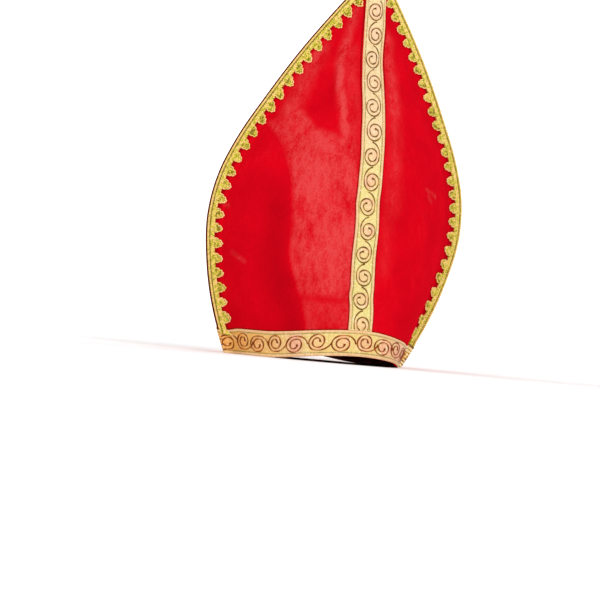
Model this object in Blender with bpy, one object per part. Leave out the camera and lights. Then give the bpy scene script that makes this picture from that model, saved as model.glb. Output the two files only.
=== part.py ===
"""A tall mitre hat that stands on its open rim.

Two panels of stiffened red velour, a front and a back, are sewn together along their
curved edges and bow apart over the head. Gold galloon ribbon runs round the rim and up
the middle of the front, and a scalloped gold gimp braid follows the front's two edges.

Metres, Z up. The rim lies on the plane Z = 0, the front faces -Y and the wearer's right
is at -X. A panel is worked out in its own terms: "across" is the length along the cloth
from the middle line, and "depth" is how far it stands out from the side seams.
"""

import math

import bmesh
import bpy
import numpy as np

# Overall form
HEIGHT = 0.390  # rim to peak
HALF_WIDTH = 0.1345  # middle to outer edge where the hat is widest
RIM_BOW = 0.102  # how far the rim bows out from the side seams
PEAK_HALF_WIDTH = 0.0025  # the blunt tip of each panel
PEAK_LEAN = 0.033  # how far the peak leans to the wearer's left of the rim
RIM_ARCH = 0.008  # how far the rim rises in the middle of the front and the back
ARCH_FADE = 0.120  # above the band, the height over which that rise dies out

# Cloth
CLOTH = 0.0018
SEAM_MARGIN = 0.017  # the flat cloth beside each seam
MOST_MARGIN = 0.45  # a margin takes no more of the half width than this
BEND_EASE = 0.004  # how softly that margin bends into the bow
MOST_EASE = 0.33  # the bend takes no more of the margin than this
FOLD_HEIGHT = 0.005  # the height of a full fold in the tables below
FOLD_MARGIN = 0.004  # smooth cloth between the braid and the nearest fold
FOLD_EASE = 0.034  # the length over which a fold rises beyond that

# Trimmings
CLEARANCE = 0.0003  # between pieces that touch
SEAT = 0.0005  # under the trimmings whose facets don't follow the panel's own
EDGE_REVEAL = 0.0013  # bare cloth outside the trimmings at the seam edge
RIM_REVEAL = 0.0006  # bare cloth below the rim band
RIBBON_WIDTH = 0.0235
RIBBON_THICKNESS = 0.0010
BRAID_HEADER = 0.0078  # the straight outer part of the gimp braid
BRAID_FAN = 0.0097  # the reach of its fans beyond the header
BRAID_PITCH = 0.0150  # from fan to fan
BRAID_THICKNESS = 0.0014
BRAID_TURN = 0.020  # the length over which the braid's end turns level with the band
LEAST_SLOPE = 0.1  # keeps the braid's length across finite where it runs nearly level

# Fineness of the faceted solids
ROWS = 20  # from the rim band to the peak
MARGIN_COLUMNS = 2
BOW_COLUMNS = 11  # from a margin to the middle
STRIP_COLUMNS = 8  # across the ribbon up the middle
CURVE_POINTS = 240  # along half a section while it is worked out

BAND_TOP = RIM_REVEAL + RIBBON_WIDTH
BRAID_REACH = EDGE_REVEAL + BRAID_HEADER + BRAID_FAN

# Level sections of a panel, as shares of the sizes above. up: of HEIGHT. half_width: of
# HALF_WIDTH. bow: of RIM_BOW. margin: of SEAM_MARGIN. softness: 1 meets the margin
# square, and 2 or more flows flat into it. squareness: 2 is round, and more is flatter
# in the middle and turns faster at the sides.
SECTION_COLUMNS = ("up", "half_width", "bow", "margin", "softness", "squareness")
SECTIONS = (
    (0.00, 0.690, 1.000, 0.66, 1.66, 2.36),
    (0.06, 0.780, 1.008, 0.72, 1.90, 2.34),
    (0.13, 0.866, 0.960, 0.82, 1.92, 2.30),
    (0.22, 0.944, 0.870, 0.92, 1.85, 2.30),
    (0.34, 0.996, 0.765, 1.00, 1.80, 2.20),
    (0.44, 0.962, 0.685, 1.00, 1.80, 2.15),
    (0.53, 0.868, 0.605, 1.00, 1.80, 2.10),
    (0.64, 0.702, 0.450, 1.00, 1.85, 2.05),
    (0.75, 0.517, 0.240, 1.00, 1.90, 2.00),
    (0.87, 0.283, 0.125, 1.00, 2.00, 2.00),
    (1.00, 0.000, 0.000, 1.00, 2.00, 2.00),
)
WIDEST_UP = max(SECTIONS, key=lambda row: row[1])[0]  # where the lean crosses the middle
ARCH_FROM = 0.30  # the rim starts to rise at this share of the way to the middle
MARGIN_CROWDING = 1.35  # above 1, columns crowd towards the margin

# Folds and dents, each a long soft ridge, or a hollow where height is below 0. across:
# of half the panel's cloth at that level, the wearer's right below 0. up, length and
# width: of HEIGHT. turn: degrees from upright, leaning to the wearer's left. height: of
# FOLD_HEIGHT.
FOLD_COLUMNS = ("across", "up", "length", "width", "turn", "height")
FRONT_FOLDS = (
    (-0.33, 0.16, 0.20, 0.050, -9, 0.90),  # bend over the right temple
    (-0.44, 0.42, 0.16, 0.045, -6, 0.70),  # the same bend, higher up
    (0.34, 0.18, 0.22, 0.055, 8, 0.60),  # bend over the left temple
    (-0.13, 0.26, 0.20, 0.075, -5, -0.35),  # flattened cloth beside the ribbon
    (-0.17, 0.165, 0.018, 0.120, 4, -0.45),  # level crease above the brow
    (-0.18, 0.385, 0.022, 0.110, -14, -0.35),  # level crease at mid height
    (-0.52, 0.64, 0.090, 0.060, 20, -1.30),  # dent high on the wearer's right
    (-0.36, 0.69, 0.150, 0.024, -11, 0.80),  # ridge between that dent and the ribbon
    (0.50, 0.76, 0.100, 0.022, 0, 0.50),  # ridge high on the wearer's left
)
BACK_FOLDS = (
    (-0.40, 0.22, 0.24, 0.060, -7, 0.60),
    (0.38, 0.20, 0.22, 0.060, 8, 0.60),
    (0.12, 0.62, 0.120, 0.060, -18, -0.60),
    (-0.28, 0.72, 0.120, 0.030, 9, 0.45),
)

# One fan of the gimp braid, a bud between two flat stretches. along: share of the pitch.
# reach: share of BRAID_FAN beyond the header.
FAN_COLUMNS = ("along", "reach")
FAN = (
    (0.00, 0.00),
    (0.15, 0.12),
    (0.27, 0.58),
    (0.50, 1.00),
    (0.73, 0.58),
    (0.85, 0.12),
)

# The ribbon up the middle is sewn on a little to the wearer's right. up: share of HEIGHT.
# sway: length from the middle of the panel to the middle of the ribbon.
SWAY_COLUMNS = ("up", "sway")
STRIP_SWAY = (
    (0.07, -0.0034),
    (0.19, -0.0039),
    (0.33, -0.0031),
    (0.54, -0.0030),
    (0.69, -0.0023),
    (0.85, -0.0004),
    (1.00, 0.0000),
)


def smooth_step(value):
    """0 below 0, 1 above 1 and an even curve between."""
    value = np.clip(value, 0.0, 1.0)
    return value * value * (3.0 - 2.0 * value)


def table_at(columns, rows, key):
    """A row of the table at key, on a smooth curve through its rows."""
    table = np.array(rows)
    slopes = np.gradient(table, table[:, 0], axis=0)
    below = int(np.clip(np.searchsorted(table[:, 0], key) - 1, 0, len(table) - 2))
    span = table[below + 1, 0] - table[below, 0]
    t = (key - table[below, 0]) / span
    values = (
        (1 + 2 * t) * (1 - t) ** 2 * table[below]
        + t * (1 - t) ** 2 * span * slopes[below]
        + t * t * (3 - 2 * t) * table[below + 1]
        - t * t * (1 - t) * span * slopes[below + 1]
    )
    return dict(zip(columns, values))


def fold_height(folds, across, up):
    """How far the folds push the cloth out at a share across and up."""
    total = 0.0
    for row in folds:
        fold = dict(zip(FOLD_COLUMNS, row))
        turn = math.radians(fold["turn"])
        # Both distances are in shares of the height, so that a turn keeps a fold's shape.
        side = (across - fold["across"]) * HALF_WIDTH / HEIGHT
        rise = up - fold["up"]
        along = rise * math.cos(turn) + side * math.sin(turn)
        beside = side * math.cos(turn) - rise * math.sin(turn)
        distance = (along / fold["length"]) ** 2 + (beside / fold["width"]) ** 2
        total += fold["height"] * math.exp(-distance)
    return total * FOLD_HEIGHT


class Panel:
    """One panel of the hat, as the grid of points of its faceted solid."""

    def __init__(self, facing, folds):
        self.facing = facing  # -1 for the front, which faces -Y, and 1 for the back
        self.folds = folds
        foot = [0.0, BAND_TOP / 2, BAND_TOP]
        rise = np.linspace(BAND_TOP, HEIGHT, ROWS + 1)[1:]
        self.levels = np.array(foot + list(rise))
        # Each column is a share of the margin and a share of the bow, from the edge in.
        shares = [(share, 0.0) for share in np.linspace(0, 1, MARGIN_COLUMNS + 1)[:-1]]
        steps = np.linspace(0, 1, BOW_COLUMNS + 1)
        shares += [(1.0, step**MARGIN_CROWDING) for step in steps]
        columns = [(-1, *share) for share in shares] + [(1, *share) for share in shares[-2::-1]]
        grid = [[self.spot(level, *column) for column in columns] for level in self.levels]
        self.across = np.array([[spot[0] for spot in row] for row in grid])
        self.inner = np.array([[spot[1] for spot in row] for row in grid])
        self.normal = np.array([[spot[2] for spot in row] for row in grid])
        self.outer = self.inner + self.normal * CLOTH

    def section(self, level):
        """The inner face of the bare cloth at a level, from the middle to the edge."""
        shape = table_at(SECTION_COLUMNS, SECTIONS, level / HEIGHT)
        half = max(shape["half_width"] * HALF_WIDTH, PEAK_HALF_WIDTH)
        margin = min(shape["margin"] * SEAM_MARGIN, MOST_MARGIN * half)
        reach = half - margin
        bow = max(shape["bow"], 0.0) * RIM_BOW
        angle = np.linspace(0.0, math.pi / 2, CURVE_POINTS)
        x = np.append(reach * np.sin(angle) ** (2 / shape["squareness"]), half)
        depth = np.append(bow * np.abs(np.cos(angle)) ** shape["softness"], 0.0)
        length = np.append(0.0, np.cumsum(np.hypot(np.diff(x), np.diff(depth))))
        even = np.linspace(0.0, length[-1], CURVE_POINTS)
        x = np.interp(even, length, x)
        depth = np.interp(even, length, depth)
        # The cloth is too stiff to turn a sharp corner, so the curve is eased along itself.
        ease = min(BEND_EASE, margin * MOST_EASE)
        count = int(margin / even[1])
        weights = np.exp(-0.5 * (np.arange(-count, count + 1) * even[1] / ease) ** 2)
        beyond = half + even[1] * np.arange(1, count + 1)
        x = np.concatenate([-x[count:0:-1], x, beyond])
        depth = np.concatenate([depth[count:0:-1], depth, np.zeros(count)])
        x = np.convolve(x, weights / weights.sum(), "valid")
        depth = np.convolve(depth, weights / weights.sum(), "valid") + CLEARANCE / 2
        length = np.append(0.0, np.cumsum(np.hypot(np.diff(x), np.diff(depth))))
        return x, depth, length, margin

    def spot(self, level, side, of_margin, of_bow):
        """The length across, the inner point and the outward normal at one grid corner."""
        rise = RIM_ARCH * smooth_step((of_bow - ARCH_FROM) / (1 - ARCH_FROM))
        height = level + rise * (1 - smooth_step((level - BAND_TOP) / ARCH_FADE))
        x, depth, length, margin = self.section(height)
        edge = length[-1]
        across = edge - of_margin * margin - of_bow * (edge - margin)
        slope_x = np.interp(across, length, np.gradient(x, length))
        slope_depth = np.interp(across, length, np.gradient(depth, length))
        size = math.hypot(slope_x, slope_depth)
        normal_x = -side * slope_depth / size * (across > 0)
        normal_depth = slope_x / size
        # Folds fade out before the braid and the margin, where the two panels lie together.
        inside = smooth_step((edge - BRAID_REACH - FOLD_MARGIN - across) / FOLD_EASE)
        push = inside * fold_height(self.folds, side * across / edge, height / HEIGHT)
        lean = PEAK_LEAN * (height / HEIGHT - WIDEST_UP)
        out_x = side * np.interp(across, length, x) + push * normal_x + lean
        out_depth = np.interp(across, length, depth) + push * normal_depth
        point = (out_x, self.facing * out_depth, height)
        return side * across, point, (normal_x, self.facing * normal_depth, 0.0)

    def edge_across(self, level):
        """The length across from the middle to the edge at a level."""
        return float(np.interp(level, self.levels, self.across[:, -1]))

    def on_outside(self, level, across, lift):
        """A point lifted off the outer facets at a level and a length across."""
        below = int(np.clip(np.searchsorted(self.levels, level) - 1, 0, len(self.levels) - 2))
        share = (level - self.levels[below]) / (self.levels[below + 1] - self.levels[below])
        ends = []
        for row in (below, below + 1):
            place = across * self.across[row, -1] / self.edge_across(level)
            surface = self.outer[row] + self.normal[row] * lift
            ends.append([np.interp(place, self.across[row], surface[:, axis]) for axis in range(3)])
        return (1 - share) * np.array(ends[0]) + share * np.array(ends[1])


def closed_sheet(name, inner, outer, material, parent):
    """A solid between two grids of points, made as one closed body."""
    mesh = bpy.data.meshes.new(name)
    body = bmesh.new()
    rows, columns = inner.shape[:2]
    grids = [[[body.verts.new(p) for p in row] for row in grid] for grid in (inner, outer)]
    under, over = grids
    for i in range(rows - 1):
        for j in range(columns - 1):
            body.faces.new((over[i][j], over[i][j + 1], over[i + 1][j + 1], over[i + 1][j]))
            body.faces.new((under[i][j], under[i + 1][j], under[i + 1][j + 1], under[i][j + 1]))
    for i in range(rows - 1):
        for j, turned in ((0, False), (columns - 1, True)):
            side = [under[i][j], over[i][j], over[i + 1][j], under[i + 1][j]]
            body.faces.new(side[::-1] if turned else side)
    for j in range(columns - 1):
        for i, turned in ((0, True), (rows - 1, False)):
            side = [under[i][j], over[i][j], over[i][j + 1], under[i][j + 1]]
            body.faces.new(side[::-1] if turned else side)
    bmesh.ops.recalc_face_normals(body, faces=body.faces)
    # The same split in every sheet, so that a ribbon's facets lie along its panel's.
    bmesh.ops.triangulate(body, faces=body.faces, quad_method="FIXED")
    body.to_mesh(mesh)
    body.free()
    mesh.shade_smooth()
    mesh.set_sharp_from_angle(angle=math.radians(40))
    mesh.materials.append(material)
    made = bpy.data.objects.new(name, mesh)
    made.parent = parent
    bpy.context.scene.collection.objects.link(made)
    return made


def cloth_material(name, colour, roughness, metallic):
    made = bpy.data.materials.new(name)
    made.use_nodes = True
    shader = made.node_tree.nodes["Principled BSDF"]
    shader.inputs["Base Color"].default_value = (*colour, 1.0)
    shader.inputs["Roughness"].default_value = roughness
    shader.inputs["Metallic"].default_value = metallic
    return made


def rim_band(name, panel, material, parent):
    """Ribbon round a panel's foot, from seam edge to seam edge, on the panel's own rows."""
    rows = int(np.searchsorted(panel.levels, BAND_TOP)) + 1
    rise = RIM_REVEAL / panel.levels[1]
    inset = EDGE_REVEAL / (panel.across[:rows, 1] - panel.across[:rows, 0])[:, None]
    grids = []
    for lift in (CLEARANCE, CLEARANCE + RIBBON_THICKNESS):
        grid = panel.outer[:rows] + panel.normal[:rows] * lift
        grid[0] += rise * (grid[1] - grid[0])
        grid[:, 0] += inset * (grid[:, 1] - grid[:, 0])
        grid[:, -1] += inset * (grid[:, -2] - grid[:, -1])
        grids.append(grid)
    return closed_sheet(name, *grids, material, parent)


def edge_path(panel):
    """The seam edge above the band, in the flat of the margin: x from the middle, level."""
    levels = np.linspace(BAND_TOP + CLEARANCE, HEIGHT, CURVE_POINTS)
    halves = np.array([panel.section(level)[0][-1] for level in levels])
    return halves, levels


def middle_strip(name, panel, material, parent):
    """Ribbon up the middle of a panel, from the rim band to where the two braids meet."""
    half_ribbon = RIBBON_WIDTH / 2
    tip_half = CLEARANCE
    halves, levels = edge_path(panel)
    lean_out = np.hypot(np.gradient(halves), np.gradient(levels)) / np.gradient(levels)
    room = halves - (BRAID_REACH + CLEARANCE) * lean_out
    top = float(np.interp(tip_half, room[::-1], levels[::-1]))
    shoulder = float(np.interp(half_ribbon, room[::-1], levels[::-1]))
    foot = BAND_TOP + CLEARANCE
    inside = panel.levels[(panel.levels > foot) & (panel.levels < top)]
    rows = np.unique(np.concatenate([[foot, shoulder, top], inside]))
    grids = []
    for lift in (SEAT, SEAT + RIBBON_THICKNESS):
        grid = []
        for level in rows:
            sway = table_at(SWAY_COLUMNS, STRIP_SWAY, level / HEIGHT)["sway"]
            space = float(np.interp(level, levels, room)) - abs(sway)
            half = float(np.clip(space, tip_half, half_ribbon))
            places = sway + np.linspace(-half, half, STRIP_COLUMNS + 1)
            grid.append([panel.on_outside(level, place, lift) for place in places])
        grids.append(np.array(grid))
    return closed_sheet(name, *grids, material, parent)


def edge_braid(name, panel, side, material, parent):
    """Scalloped gimp braid along one seam edge, from the rim band to the peak."""
    halves, levels = edge_path(panel)
    length = np.append(0.0, np.cumsum(np.hypot(np.diff(halves), np.diff(levels))))
    fans = max(1, round(length[-1] / BRAID_PITCH))
    pitch = length[-1] / fans
    lobes = [dict(zip(FAN_COLUMNS, row)) for row in FAN]
    stations = [(fan + lobe["along"]) * pitch for fan in range(fans) for lobe in lobes]
    stations.append(length[-1])
    reaches = [lobe["reach"] for lobe in lobes] * fans + [lobes[0]["reach"]]
    grids = ([], [])
    for station, reach in zip(stations, reaches):
        x = np.interp(station, length, halves)
        level = np.interp(station, length, levels)
        slope_x = np.interp(station, length, np.gradient(halves, length))
        slope_z = np.interp(station, length, np.gradient(levels, length))
        # The braid's end lies level on the band, and from there it turns square to the edge.
        turned = smooth_step(station / BRAID_TURN)
        inward = np.array([-slope_z, slope_x * turned])
        inward /= np.hypot(*inward)
        # At the peak the two braids meet on the middle line.
        room = (x - CLEARANCE) / max(-inward[0], LEAST_SLOPE)
        whole = EDGE_REVEAL + BRAID_HEADER + reach * BRAID_FAN
        squeeze = min(1.0, room / whole)
        # The bare edge, the header's inner side, halfway up the fan and the fan's end.
        header = EDGE_REVEAL + BRAID_HEADER
        offsets = np.array([EDGE_REVEAL, header, (header + whole) / 2, whole]) * squeeze
        for grid, lift in zip(grids, (SEAT, SEAT + BRAID_THICKNESS)):
            row = []
            for offset in offsets:
                place_x, place_level = np.array([x, level]) + offset * inward
                from_edge = float(np.interp(place_level, levels, halves)) - place_x
                across = panel.edge_across(place_level) - from_edge
                row.append(panel.on_outside(place_level, side * across, lift))
            grid.append(row)
    inner, outer = (np.array(grid) for grid in grids)
    return closed_sheet(name, inner, outer, material, parent)


def build_hat():
    for old in list(bpy.data.objects):
        bpy.data.objects.remove(old)
    hat = bpy.data.objects.new("hat", None)
    bpy.context.scene.collection.objects.link(hat)
    velour = cloth_material("red_velour", (0.60, 0.008, 0.022), 0.55, 0.0)
    galloon = cloth_material("gold_galloon", (0.72, 0.42, 0.16), 0.45, 0.3)
    gimp = cloth_material("gold_gimp", (0.62, 0.47, 0.10), 0.35, 0.6)
    front = Panel(-1, FRONT_FOLDS)
    back = Panel(1, BACK_FOLDS)
    closed_sheet("panel_front", front.inner, front.outer, velour, hat)
    closed_sheet("panel_back", back.inner, back.outer, velour, hat)
    rim_band("band_front", front, galloon, hat)
    rim_band("band_back", back, galloon, hat)
    middle_strip("strip_front", front, galloon, hat)
    edge_braid("trim_right", front, -1, gimp, hat)
    edge_braid("trim_left", front, 1, gimp, hat)


build_hat()
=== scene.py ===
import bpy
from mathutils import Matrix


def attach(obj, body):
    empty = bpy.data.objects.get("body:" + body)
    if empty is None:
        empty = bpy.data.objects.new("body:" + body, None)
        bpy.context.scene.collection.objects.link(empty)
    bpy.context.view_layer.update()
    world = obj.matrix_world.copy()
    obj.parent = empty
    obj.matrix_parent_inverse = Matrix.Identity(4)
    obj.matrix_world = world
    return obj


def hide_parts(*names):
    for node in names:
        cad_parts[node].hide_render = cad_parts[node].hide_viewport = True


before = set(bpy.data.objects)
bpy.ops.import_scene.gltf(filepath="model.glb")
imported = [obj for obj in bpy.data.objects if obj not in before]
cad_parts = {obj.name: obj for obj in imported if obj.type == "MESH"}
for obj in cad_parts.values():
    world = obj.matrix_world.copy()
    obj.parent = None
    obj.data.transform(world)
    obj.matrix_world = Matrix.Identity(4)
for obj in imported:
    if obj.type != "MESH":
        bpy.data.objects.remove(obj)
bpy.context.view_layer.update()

import math

import bmesh
import bpy
import numpy as np
from mathutils import Matrix, Vector

# The solids' own sizes, in metres
HEIGHT = 0.390
HALF_WIDTH = 0.1345
RIM_BOW = 0.102
PEAK_HALF_WIDTH = 0.0025
PEAK_LEAN = 0.033
RIM_ARCH = 0.008
ARCH_FADE = 0.120
CLOTH = 0.0018
SEAM_MARGIN = 0.017
MOST_MARGIN = 0.45
BEND_EASE = 0.004
MOST_EASE = 0.33
FOLD_HEIGHT = 0.005
FOLD_MARGIN = 0.004
FOLD_EASE = 0.034
SEAM_GAP = 0.00002  # the two cloths all but touch along the seam
EDGE_REVEAL = 0.0013
RIM_REVEAL = 0.0006
RIBBON_WIDTH = 0.0235
BRAID_HEADER = 0.0078
BRAID_FAN = 0.0097
BRAID_PITCH = 0.0150
BAND_TOP = RIM_REVEAL + RIBBON_WIDTH
BRAID_REACH = EDGE_REVEAL + BRAID_HEADER + BRAID_FAN
ARCH_FROM = 0.30

# The solids' own level sections and folds, with the same columns
SECTION_COLUMNS = ("up", "half_width", "bow", "margin", "softness", "squareness")
SECTIONS = (
    (0.00, 0.690, 1.000, 0.66, 1.66, 2.36),
    (0.06, 0.780, 1.008, 0.72, 1.90, 2.34),
    (0.13, 0.866, 0.960, 0.82, 1.92, 2.30),
    (0.22, 0.944, 0.870, 0.92, 1.85, 2.30),
    (0.34, 0.996, 0.765, 1.00, 1.80, 2.20),
    (0.44, 0.962, 0.685, 1.00, 1.80, 2.15),
    (0.53, 0.868, 0.605, 1.00, 1.80, 2.10),
    (0.64, 0.702, 0.450, 1.00, 1.85, 2.05),
    (0.75, 0.517, 0.240, 1.00, 1.90, 2.00),
    (0.87, 0.283, 0.125, 1.00, 2.00, 2.00),
    (1.00, 0.000, 0.000, 1.00, 2.00, 2.00),
)
WIDEST_UP = max(SECTIONS, key=lambda row: row[1])[0]
FOLD_COLUMNS = ("across", "up", "length", "width", "turn", "height")
FRONT_FOLDS = (
    (-0.33, 0.16, 0.20, 0.050, -9, 0.90),
    (-0.44, 0.42, 0.16, 0.045, -6, 0.70),
    (0.34, 0.18, 0.22, 0.055, 8, 0.60),
    (-0.13, 0.26, 0.20, 0.075, -5, -0.35),
    (-0.17, 0.165, 0.018, 0.120, 4, -0.45),
    (-0.18, 0.385, 0.022, 0.110, -14, -0.35),
    (-0.52, 0.64, 0.090, 0.060, 20, -1.30),
    (-0.36, 0.69, 0.150, 0.024, -11, 0.80),
    (0.50, 0.76, 0.100, 0.022, 0, 0.50),
)
BACK_FOLDS = (
    (-0.40, 0.22, 0.24, 0.060, -7, 0.60),
    (0.38, 0.20, 0.22, 0.060, 8, 0.60),
    (0.12, 0.62, 0.120, 0.060, -18, -0.60),
    (-0.28, 0.72, 0.120, 0.030, 9, 0.45),
)

# Fineness of the cloth
FINE_ROWS = 236
FOOT_ROWS = 22  # of them over the rim band
FINE_COLUMNS = 84  # from a margin to the middle
BOW_SPACING = 1.15  # over 1, they stand closer together beside the margin
EDGE_SHARES = (0.0, 0.02, 0.05, 0.09, 0.15, 0.24, 0.36, 0.50, 0.66, 0.82)
SECTION_LEVELS = 196
CURVE_POINTS = 400
EDGE_ROUND = 0.0016  # the outer edge of a panel is rounded over this much
EDGE_THICK = 0.25  # and keeps this share of its thickness


def smooth_step(value):
    value = np.clip(value, 0.0, 1.0)
    return value * value * (3.0 - 2.0 * value)


def hill(value, width):
    """1 where the value is 0, and falling off smoothly over the width."""
    return np.exp(-((value / width) ** 2))


def rounded(value, most=1):
    """A quarter round from 0 to 1, or with most 2 a half round."""
    return np.sqrt(1 - (1 - np.clip(value, 0, most)) ** 2)


def unit(vectors):
    return vectors / np.maximum(np.linalg.norm(vectors, axis=-1, keepdims=True), 1e-12)


def run_length(*axes):
    """The length along a curve at each point, from the points' coordinates."""
    return np.append(0.0, np.cumsum(np.linalg.norm(np.diff(axes), axis=0)))


def rows_of(columns, rows):
    """A table's rows, each by the names of its columns."""
    return [dict(zip(columns, row)) for row in rows]


def eased(rows, value):
    """The sum of smooth steps, from rows of the side of the middle that each is on, its
    start, its length and its size."""
    return sum(size * smooth_step((side * value - start) / over)
               for side, start, over, size in rows)


def table_at(columns, rows, key):
    """A smooth curve through a table's rows, at a value of its first column."""
    table = np.array(rows)
    slopes = np.gradient(table, table[:, 0], axis=0)
    below = int(np.clip(np.searchsorted(table[:, 0], key) - 1, 0, len(table) - 2))
    span = table[below + 1, 0] - table[below, 0]
    t = (key - table[below, 0]) / span
    values = (
        (1 + 2 * t) * (1 - t) ** 2 * table[below]
        + t * (1 - t) ** 2 * span * slopes[below]
        + t * t * (3 - 2 * t) * table[below + 1]
        - t * t * (1 - t) * span * slopes[below + 1]
    )
    return dict(zip(columns, values))


def bumps(rows, across, up, aspect=1.0):
    """The sum of slanted rounds, each with the columns of a fold."""
    total = np.zeros(np.broadcast(across, up).shape)
    for fold in rows_of(FOLD_COLUMNS, rows):
        turn = math.radians(fold["turn"])
        side, rise = (across - fold["across"]) * aspect, up - fold["up"]
        along = rise * math.cos(turn) + side * math.sin(turn)
        beside = side * math.cos(turn) - rise * math.sin(turn)
        total += fold["height"] * hill(along, fold["length"]) * hill(beside, fold["width"])
    return total


def section(level):
    """The inner face of the bare cloth at a level, from the middle to the edge."""
    shape = table_at(SECTION_COLUMNS, SECTIONS, level / HEIGHT)
    half = max(shape["half_width"] * HALF_WIDTH, PEAK_HALF_WIDTH)
    margin = min(shape["margin"] * SEAM_MARGIN, MOST_MARGIN * half)
    bow = max(shape["bow"], 0.0) * RIM_BOW
    angle = np.linspace(0.0, math.pi / 2, CURVE_POINTS)
    x = np.append((half - margin) * np.sin(angle) ** (2 / shape["squareness"]), half)
    depth = np.append(bow * np.abs(np.cos(angle)) ** shape["softness"], 0.0)
    length = run_length(x, depth)
    even = np.linspace(0.0, length[-1], CURVE_POINTS)
    x, depth = np.interp(even, length, x), np.interp(even, length, depth)
    # The bend at the margin is eased by a moving mean, which needs more points at both ends.
    step = even[1]
    count = int(margin / step)
    ease = min(BEND_EASE, margin * MOST_EASE)
    weights = np.exp(-0.5 * (np.arange(-count, count + 1) * step / ease) ** 2)
    weights = weights / weights.sum()
    x = np.concatenate([-x[count:0:-1], x, half + step * np.arange(1, count + 1)])
    depth = np.concatenate([depth[count:0:-1], depth, np.zeros(count)])
    x = np.convolve(x, weights, "valid")
    depth = np.convolve(depth, weights, "valid") + SEAM_GAP / 2
    return x, depth, run_length(x, depth), margin


class Panel:
    """A panel's cloth as a fine grid of points, rows by level, columns from side to side.
    dip is how far the band's top edge comes down on it."""

    def __init__(self, facing, folds, relief, dip):
        self.dip = dip
        steps = np.linspace(0, 1, FINE_COLUMNS + 1)
        of_margin = np.append(EDGE_SHARES, np.ones(len(steps)))
        of_bow = np.append(np.zeros(len(EDGE_SHARES)), steps**BOW_SPACING)
        heights = np.linspace(0.0, HEIGHT, SECTION_LEVELS)
        sections = []
        for height in heights:
            x, depth, length, margin = section(height)
            edge = length[-1]
            across = edge - of_margin * margin - of_bow * (edge - margin)
            x, depth, slope_x, slope_depth = (
                np.interp(across, length, value)
                for value in (x, depth, np.gradient(x, length), np.gradient(depth, length)))
            size = np.hypot(slope_x, slope_depth)
            sections.append((x, depth, across, np.full(len(across), edge),
                             -slope_depth / size * (across > 0), slope_x / size))
        foot = np.linspace(0.0, BAND_TOP, FOOT_ROWS)
        above = np.linspace(BAND_TOP, HEIGHT, FINE_ROWS - FOOT_ROWS + 1)
        self.levels = np.append(foot, above[1:])
        rise = RIM_ARCH * smooth_step((of_bow - ARCH_FROM) / (1 - ARCH_FROM))
        fade = 1 - smooth_step((self.levels - BAND_TOP) / ARCH_FADE)
        height = self.levels[:, None] + rise[None, :] * fade[:, None]
        x, depth, across, edge, out_x, out_depth = (
            np.stack([np.interp(height[:, c], heights, value[:, c])
                      for c in range(len(of_bow))], axis=1)
            for value in np.swapaxes(sections, 0, 1))
        up, from_edge = height / HEIGHT, edge - across
        inside = smooth_step((from_edge - BRAID_REACH - FOLD_MARGIN) / FOLD_EASE)
        thick = CLOTH * (EDGE_THICK + (1 - EDGE_THICK) * rounded(from_edge / EDGE_ROUND))
        halves = []
        for side in (-1, 1):
            push = bumps(folds, side * across / edge, up, HALF_WIDTH / HEIGHT) * FOLD_HEIGHT
            push = inside * push + relief(side * across, from_edge, height)
            lean = PEAK_LEAN * (up - WIDEST_UP)
            bare = np.stack([side * x + lean, facing * depth, height], axis=2)
            out = np.stack([side * out_x, facing * out_depth, 0 * height], axis=2)
            inner = bare + out * push[..., None]
            halves.append((inner, inner + out * thick[..., None], from_edge))
        self.inner, self.outer, self.from_edge = (
            np.concatenate([left, right[:, -2::-1]], axis=1) for left, right in zip(*halves))
        # Lengths along the outside of the cloth, from its middle column
        steps = np.linalg.norm(np.diff(self.outer, axis=1), axis=2)
        length = np.pad(np.cumsum(steps, axis=1), ((0, 0), (1, 0)))
        self.across = length - length[:, len(of_bow) - 1, None]
        self.ends = self.across[:, [0, -1]]
        self.normal = unit(np.cross(np.gradient(self.outer, axis=1),
                                    np.gradient(self.outer, axis=0)))
        self.normal *= facing * np.sign(self.normal[..., 1].mean())

    def end(self, level, side):
        """Length from the middle to the edge on one side at a level."""
        return np.abs(np.interp(level, self.levels, self.ends[:, int(side > 0)]))

    def on(self, level, place, lift, from_edge=0):
        """Points and normals on the cloth's outside. place is the length from the middle,
        or with from_edge -1 or 1 the length inwards from the wearer's right or left edge."""
        level, place, lift = np.broadcast_arrays(level, place, lift)
        shape, level, place, lift = level.shape, level.ravel(), place.ravel(), lift.ravel()
        below = np.clip(np.searchsorted(self.levels, level) - 1, 0, len(self.levels) - 2)
        share = (level - self.levels[below]) / (self.levels[below + 1] - self.levels[below])
        points, normals = np.zeros((2, len(level), 3))
        for row in np.unique(below):
            here = below == row
            for r, weight in ((row, 1 - share[here]), (row + 1, share[here])):
                where = place[here]
                if from_edge:
                    where = self.ends[r, int(from_edge > 0)] - from_edge * where
                for made, grid in ((points, self.outer), (normals, self.normal)):
                    for axis in range(3):
                        value = np.interp(where, self.across[r], grid[r, :, axis])
                        made[here, axis] += weight * value
        normals = unit(normals)
        points += normals * lift[:, None]
        return points.reshape(*shape, 3), normals.reshape(*shape, 3)


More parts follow.
